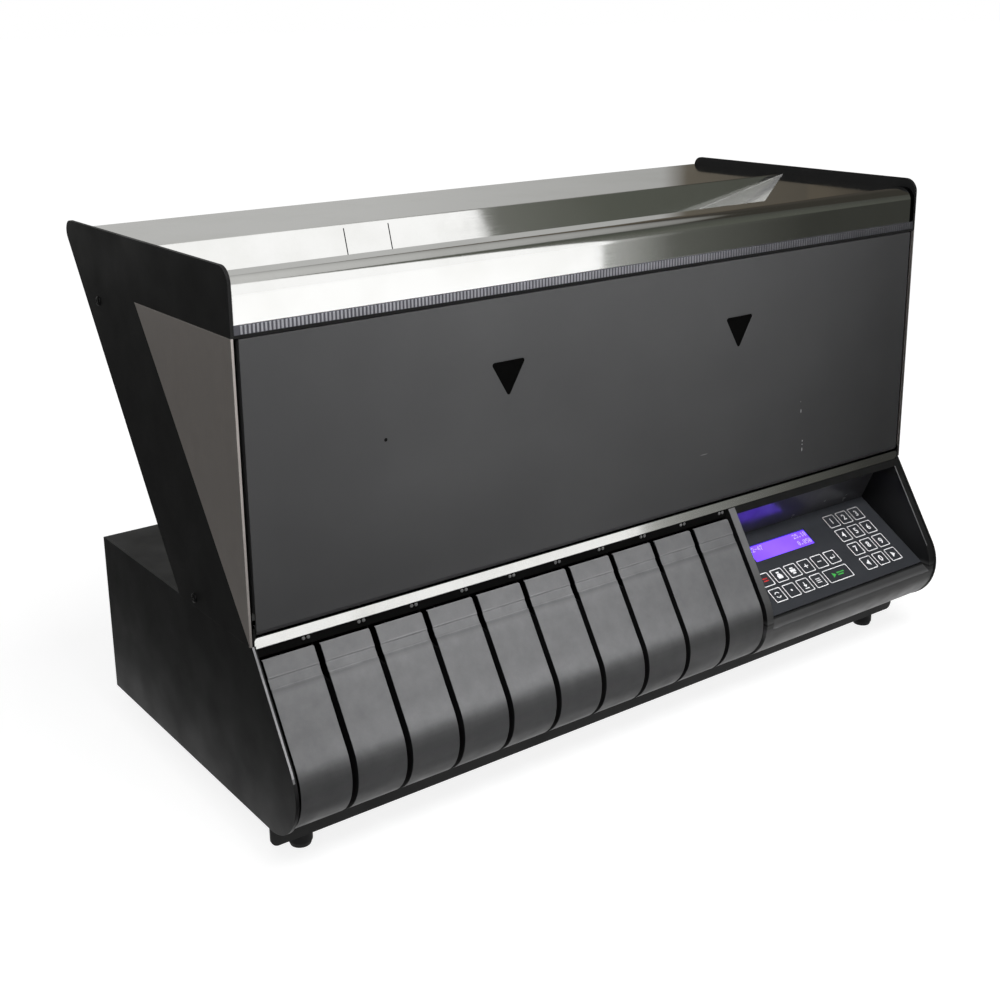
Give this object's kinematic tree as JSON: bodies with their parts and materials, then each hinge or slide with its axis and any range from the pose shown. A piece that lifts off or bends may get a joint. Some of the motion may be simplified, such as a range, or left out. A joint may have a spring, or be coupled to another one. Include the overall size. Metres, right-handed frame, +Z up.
{
  "type": "coin counting machine",
  "caption": "Bench-top coin counting machine: a steel hopper between slanted side plates over a row of sloping coin drawers, with a hooded keypad and display beside them.",
  "frame": {"origin": "on the ground under the middle of the outline", "axes": "+X along the width, to the right seen from the front; the drawers face -Y; +Z up"},
  "size_m": [0.7632, 0.3695, 0.4725],
  "materials": {
    "case_black": "satin powder coat",
    "panel_graphite": "satin powder coat",
    "steel": "brushed",
    "drawer_grey": "fine moulded texture",
    "housing_black": "satin",
    "overlay_grey": "satin film",
    "key_grey": "satin film",
    "display_violet": "backlit, clear window",
    "rubber_black": "matte",
    "socket_black": "satin",
    "board_green": "lacquered"
  },
  "bodies": {
    "case": {"base_pan": "case_black", "base_side_left": "case_black", "base_side_right": "case_black", "base_cover": "case_black", "upper_side_left": "case_black", "upper_side_right": "case_black", "side_trim_left": "steel", "side_trim_right": "steel", "rear_panel": "case_black", "hopper": "steel", "panel_seal": "rubber_black", "sill_strip": "steel", "drawer_rack": "housing_black", "control_housing": "housing_black", "keypad_overlay": "overlay_grey", "display": "display_violet", "feet": "rubber_black", "case_screws": "case_black", "power_inlet": "socket_black", "feed_belt": "rubber_black", "feed_motor": "panel_graphite", "sort_rail": "steel", "main_board": "board_green"},
    "drawer_1": {"drawer_1": "drawer_grey"},
    "drawer_2": {"drawer_2": "drawer_grey"},
    "drawer_3": {"drawer_3": "drawer_grey"},
    "drawer_4": {"drawer_4": "drawer_grey"},
    "drawer_5": {"drawer_5": "drawer_grey"},
    "drawer_6": {"drawer_6": "drawer_grey"},
    "drawer_7": {"drawer_7": "drawer_grey"},
    "drawer_8": {"drawer_8": "drawer_grey"},
    "drawer_9": {"drawer_9": "drawer_grey"},
    "drawer_10": {"drawer_10": "drawer_grey"},
    "front_panel": {"front_panel": "panel_graphite"},
    "power_switch": {"power_switch": "socket_black"},
    "drive_roller": {"drive_roller": "steel"},
    "idle_roller": {"idle_roller": "steel"},
    "key_1": {"key_1": "key_grey"},
    "key_2": {"key_2": "key_grey"},
    "key_3": {"key_3": "key_grey"},
    "key_4": {"key_4": "key_grey"},
    "key_5": {"key_5": "key_grey"},
    "key_6": {"key_6": "key_grey"},
    "key_7": {"key_7": "key_grey"},
    "key_8": {"key_8": "key_grey"},
    "key_9": {"key_9": "key_grey"},
    "key_left": {"key_left": "key_grey"},
    "key_0": {"key_0": "key_grey"},
    "key_right": {"key_right": "key_grey"},
    "key_stop": {"key_stop": "key_grey"},
    "key_bag": {"key_bag": "key_grey"},
    "key_print": {"key_print": "key_grey"},
    "key_plus": {"key_plus": "key_grey"},
    "key_minus": {"key_minus": "key_grey"},
    "key_enter": {"key_enter": "key_grey"},
    "key_coin": {"key_coin": "key_grey"},
    "key_point": {"key_point": "key_grey"},
    "key_feed": {"key_feed": "key_grey"},
    "key_menu": {"key_menu": "key_grey"},
    "key_start": {"key_start": "key_grey"}
  },
  "joints": [
    {"name": "drawer_1_slide", "type": "slide", "parent": "case", "child": "drawer_1", "axis": [0, -1, 0], "range_m": [0, 0.14]},
    {"name": "drawer_2_slide", "type": "slide", "parent": "case", "child": "drawer_2", "axis": [0, -1, 0], "range_m": [0, 0.14]},
    {"name": "drawer_3_slide", "type": "slide", "parent": "case", "child": "drawer_3", "axis": [0, -1, 0], "range_m": [0, 0.14]},
    {"name": "drawer_4_slide", "type": "slide", "parent": "case", "child": "drawer_4", "axis": [0, -1, 0], "range_m": [0, 0.14]},
    {"name": "drawer_5_slide", "type": "slide", "parent": "case", "child": "drawer_5", "axis": [0, -1, 0], "range_m": [0, 0.14]},
    {"name": "drawer_6_slide", "type": "slide", "parent": "case", "child": "drawer_6", "axis": [0, -1, 0], "range_m": [0, 0.14]},
    {"name": "drawer_7_slide", "type": "slide", "parent": "case", "child": "drawer_7", "axis": [0, -1, 0], "range_m": [0, 0.14]},
    {"name": "drawer_8_slide", "type": "slide", "parent": "case", "child": "drawer_8", "axis": [0, -1, 0], "range_m": [0, 0.14]},
    {"name": "drawer_9_slide", "type": "slide", "parent": "case", "child": "drawer_9", "axis": [0, -1, 0], "range_m": [0, 0.14]},
    {"name": "drawer_10_slide", "type": "slide", "parent": "case", "child": "drawer_10", "axis": [0, -1, 0], "range_m": [0, 0.14]},
    {"name": "front_panel_hinge", "type": "hinge", "parent": "case", "child": "front_panel", "pos_m": [0, -0.12297, 0.1941], "axis": [1, 0, 0], "range_deg": [0, 90]},
    {"name": "power_switch_rock", "type": "hinge", "parent": "case", "child": "power_switch", "pos_m": [0.2655, 0.15623, 0.1215], "axis": [1, 0, 0], "range_deg": [0, 14]},
    {"name": "drive_roller_turn", "type": "hinge", "parent": "case", "child": "drive_roller", "pos_m": [0.172, -0.01927, 0.3612], "axis": [0, 1, 0], "continuous": true},
    {"name": "idle_roller_turn", "type": "hinge", "parent": "case", "child": "idle_roller", "pos_m": [-0.308, -0.01927, 0.3612], "axis": [0, 1, 0], "continuous": true},
    {"name": "key_1_press", "type": "slide", "parent": "case", "child": "key_1", "axis": [0, 0.515, -0.8572], "range_m": [0, 0.0005], "stiffness_N_per_m": 400},
    {"name": "key_2_press", "type": "slide", "parent": "case", "child": "key_2", "axis": [0, 0.515, -0.8572], "range_m": [0, 0.0005], "stiffness_N_per_m": 400},
    {"name": "key_3_press", "type": "slide", "parent": "case", "child": "key_3", "axis": [0, 0.515, -0.8572], "range_m": [0, 0.0005], "stiffness_N_per_m": 400},
    {"name": "key_4_press", "type": "slide", "parent": "case", "child": "key_4", "axis": [0, 0.515, -0.8572], "range_m": [0, 0.0005], "stiffness_N_per_m": 400},
    {"name": "key_5_press", "type": "slide", "parent": "case", "child": "key_5", "axis": [0, 0.515, -0.8572], "range_m": [0, 0.0005], "stiffness_N_per_m": 400},
    {"name": "key_6_press", "type": "slide", "parent": "case", "child": "key_6", "axis": [0, 0.515, -0.8572], "range_m": [0, 0.0005], "stiffness_N_per_m": 400},
    {"name": "key_7_press", "type": "slide", "parent": "case", "child": "key_7", "axis": [0, 0.515, -0.8572], "range_m": [0, 0.0005], "stiffness_N_per_m": 400},
    {"name": "key_8_press", "type": "slide", "parent": "case", "child": "key_8", "axis": [0, 0.515, -0.8572], "range_m": [0, 0.0005], "stiffness_N_per_m": 400},
    {"name": "key_9_press", "type": "slide", "parent": "case", "child": "key_9", "axis": [0, 0.515, -0.8572], "range_m": [0, 0.0005], "stiffness_N_per_m": 400},
    {"name": "key_left_press", "type": "slide", "parent": "case", "child": "key_left", "axis": [0, 0.515, -0.8572], "range_m": [0, 0.0005], "stiffness_N_per_m": 400},
    {"name": "key_0_press", "type": "slide", "parent": "case", "child": "key_0", "axis": [0, 0.515, -0.8572], "range_m": [0, 0.0005], "stiffness_N_per_m": 400},
    {"name": "key_right_press", "type": "slide", "parent": "case", "child": "key_right", "axis": [0, 0.515, -0.8572], "range_m": [0, 0.0005], "stiffness_N_per_m": 400},
    {"name": "key_stop_press", "type": "slide", "parent": "case", "child": "key_stop", "axis": [0, 0.515, -0.8572], "range_m": [0, 0.0005], "stiffness_N_per_m": 400},
    {"name": "key_bag_press", "type": "slide", "parent": "case", "child": "key_bag", "axis": [0, 0.515, -0.8572], "range_m": [0, 0.0005], "stiffness_N_per_m": 400},
    {"name": "key_print_press", "type": "slide", "parent": "case", "child": "key_print", "axis": [0, 0.515, -0.8572], "range_m": [0, 0.0005], "stiffness_N_per_m": 400},
    {"name": "key_plus_press", "type": "slide", "parent": "case", "child": "key_plus", "axis": [0, 0.515, -0.8572], "range_m": [0, 0.0005], "stiffness_N_per_m": 400},
    {"name": "key_minus_press", "type": "slide", "parent": "case", "child": "key_minus", "axis": [0, 0.515, -0.8572], "range_m": [0, 0.0005], "stiffness_N_per_m": 400},
    {"name": "key_enter_press", "type": "slide", "parent": "case", "child": "key_enter", "axis": [0, 0.515, -0.8572], "range_m": [0, 0.0005], "stiffness_N_per_m": 400},
    {"name": "key_coin_press", "type": "slide", "parent": "case", "child": "key_coin", "axis": [0, 0.515, -0.8572], "range_m": [0, 0.0005], "stiffness_N_per_m": 400},
    {"name": "key_point_press", "type": "slide", "parent": "case", "child": "key_point", "axis": [0, 0.515, -0.8572], "range_m": [0, 0.0005], "stiffness_N_per_m": 400},
    {"name": "key_feed_press", "type": "slide", "parent": "case", "child": "key_feed", "axis": [0, 0.515, -0.8572], "range_m": [0, 0.0005], "stiffness_N_per_m": 400},
    {"name": "key_menu_press", "type": "slide", "parent": "case", "child": "key_menu", "axis": [0, 0.515, -0.8572], "range_m": [0, 0.0005], "stiffness_N_per_m": 400},
    {"name": "key_start_press", "type": "slide", "parent": "case", "child": "key_start", "axis": [0, 0.515, -0.8572], "range_m": [0, 0.0005], "stiffness_N_per_m": 400}
  ],
  "couplings": [
    {"joint": "idle_roller_turn", "follows": "drive_roller_turn", "ratio": 1}
  ]
}
